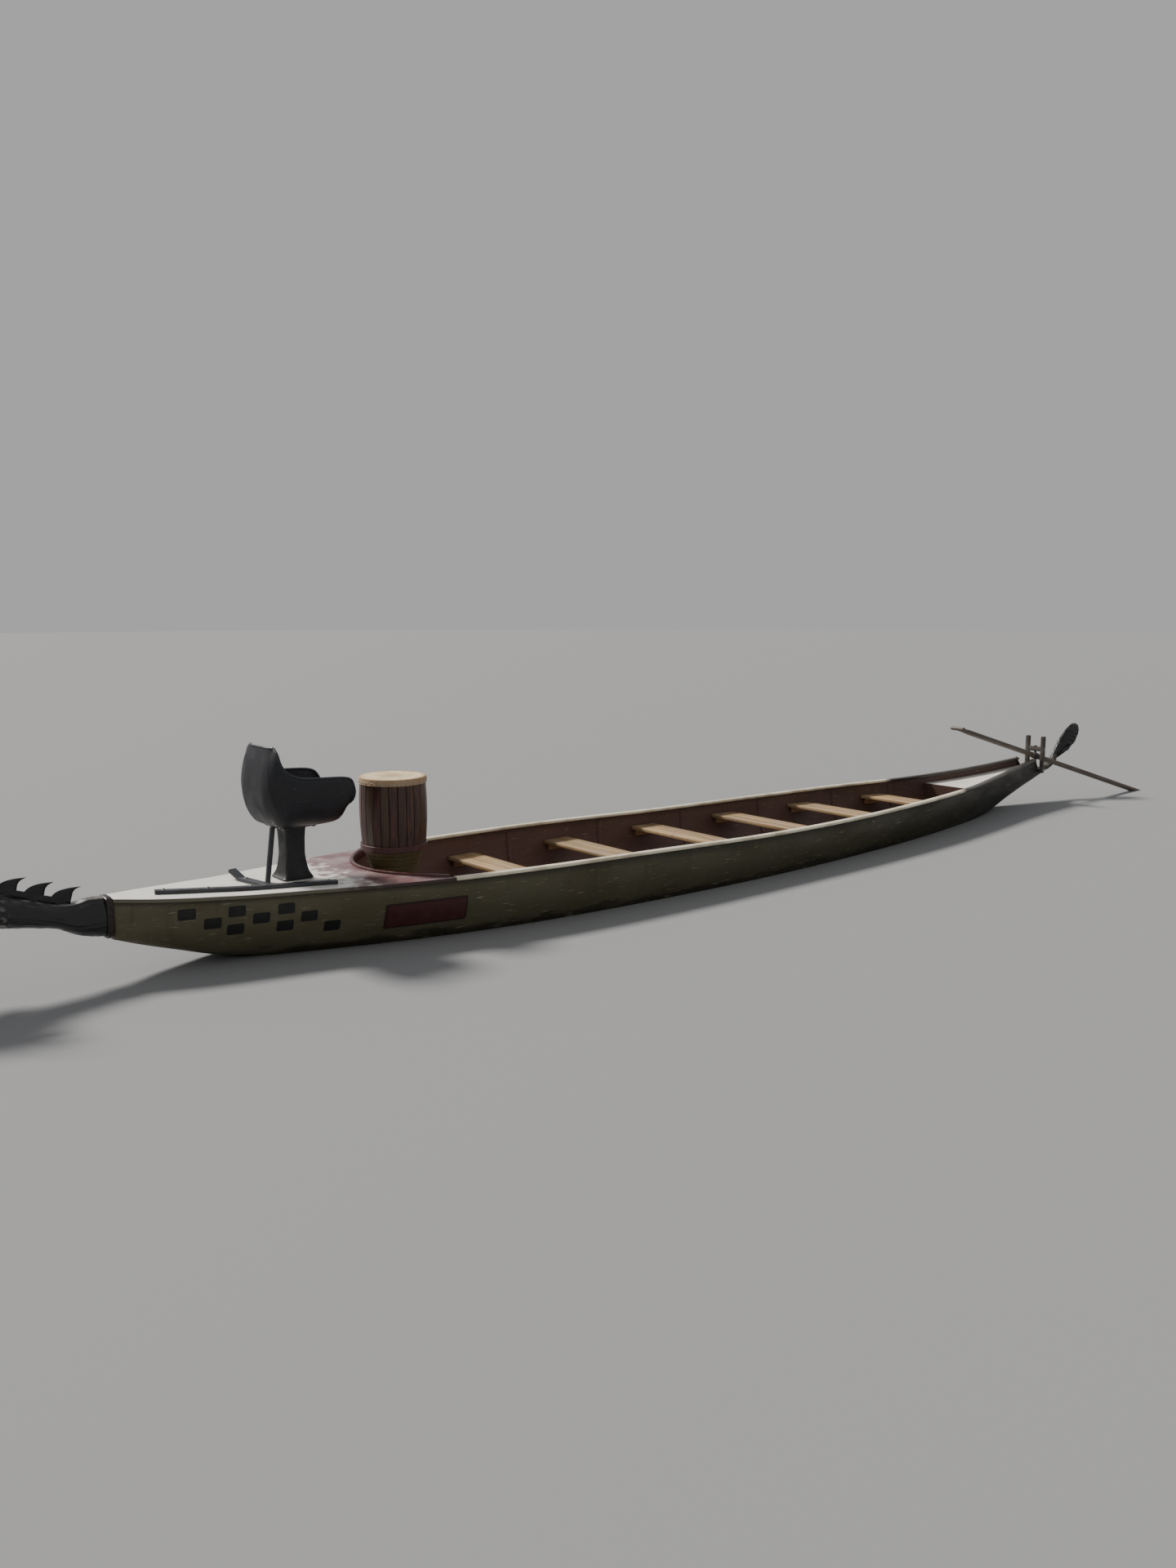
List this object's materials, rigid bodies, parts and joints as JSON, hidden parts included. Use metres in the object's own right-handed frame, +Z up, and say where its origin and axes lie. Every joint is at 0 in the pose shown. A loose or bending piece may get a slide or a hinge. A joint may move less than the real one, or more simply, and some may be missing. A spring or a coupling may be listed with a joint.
{
  "type": "dragon boat",
  "caption": "Long narrow paddled boat with thwarts, a carved black dragon head and tail, a drummer's seat and drum forward and a steering oar aft.",
  "frame": {"origin": "the waterline, on the centreline, at the middle of the waterline's length", "axes": "+X forward to the bow, +Y to port, +Z up"},
  "size_m": [11.2265, 1.2168, 1.3427],
  "materials": {
    "hull_gelcoat": "satin gelcoat, khaki to cream",
    "deck_gelcoat": "satin white gelcoat",
    "cream_trim": "satin cream gelcoat",
    "oxblood_paint": "satin oxblood paint",
    "varnished_timber": "worn varnish on pale planks",
    "weathered_timber": "weathered brown timber",
    "black_paint": "semi-gloss black paint on a carved form",
    "mouth_paint": "satin red paint",
    "ivory_paint": "satin ivory paint",
    "painted_steel": "worn dark paint on steel",
    "drum_staves": "varnished reddish-brown staves",
    "drum_skin": "stretched hide, matt",
    "seat_plastic": "moulded dark plastic"
  },
  "bodies": {
    "hull": {"bench_1": "varnished_timber", "bench_2": "varnished_timber", "bench_3": "varnished_timber", "bench_4": "varnished_timber", "bench_5": "varnished_timber", "bench_6": "varnished_timber", "bow_collar": "oxblood_paint", "bulwark_port": "hull_gelcoat", "bulwark_starboard": "hull_gelcoat", "dragon_head": "black_paint", "dragon_neck": "black_paint", "drum_head": "drum_skin", "drum_hoop": "oxblood_paint", "drum_shell": "drum_staves", "drum_stand": "varnished_timber", "drum_thwart": "varnished_timber", "ear_port": "black_paint", "ear_starboard": "black_paint", "eye_port": "ivory_paint", "eye_starboard": "ivory_paint", "floor_boards": "weathered_timber", "foredeck": "deck_gelcoat", "foredeck_coaming": "oxblood_paint", "gunwale_port": "cream_trim", "gunwale_starboard": "cream_trim", "horn_port": "ivory_paint", "horn_starboard": "ivory_paint", "hull_bottom_aft_port": "hull_gelcoat", "hull_bottom_aft_starboard": "hull_gelcoat", "hull_bottom_forward_port": "hull_gelcoat", "hull_bottom_forward_starboard": "hull_gelcoat", "hull_bottom_middle_port": "hull_gelcoat", "hull_bottom_middle_starboard": "hull_gelcoat", "hull_bow": "hull_gelcoat", "hull_side_aft_port": "hull_gelcoat", "hull_side_aft_starboard": "hull_gelcoat", "hull_side_forward_port": "hull_gelcoat", "hull_side_forward_starboard": "hull_gelcoat", "hull_side_middle_port": "hull_gelcoat", "hull_side_middle_starboard": "hull_gelcoat", "hull_stern": "hull_gelcoat", "lower_jaw": "black_paint", "neck_crest": "black_paint", "oar_crossbar": "weathered_timber", "oar_post_packing": "weathered_timber", "oar_post_port": "weathered_timber", "oar_post_starboard": "weathered_timber", "seat_bars": "painted_steel", "seat_column": "seat_plastic", "seat_shell": "seat_plastic", "seat_strut": "painted_steel", "stern_deck": "deck_gelcoat", "tail_plume": "black_paint", "tail_stem": "weathered_timber", "tongue": "mouth_paint"},
    "swivel": {"oar_swivel": "painted_steel"},
    "oar": {"oar_shaft": "weathered_timber", "oar_blade": "weathered_timber"}
  },
  "joints": [
    {"name": "steer", "type": "hinge", "parent": "hull", "child": "swivel", "pos_m": [-3.965, 0.038, 0.408], "axis": [0, 0, -1], "range_deg": [-8, 33]},
    {"name": "feather", "type": "hinge", "parent": "swivel", "child": "oar", "pos_m": [-3.965, 0.038, 0.408], "axis": [-0.9329, 0.2068, -0.2949], "range_deg": [-90, 90]}
  ]
}
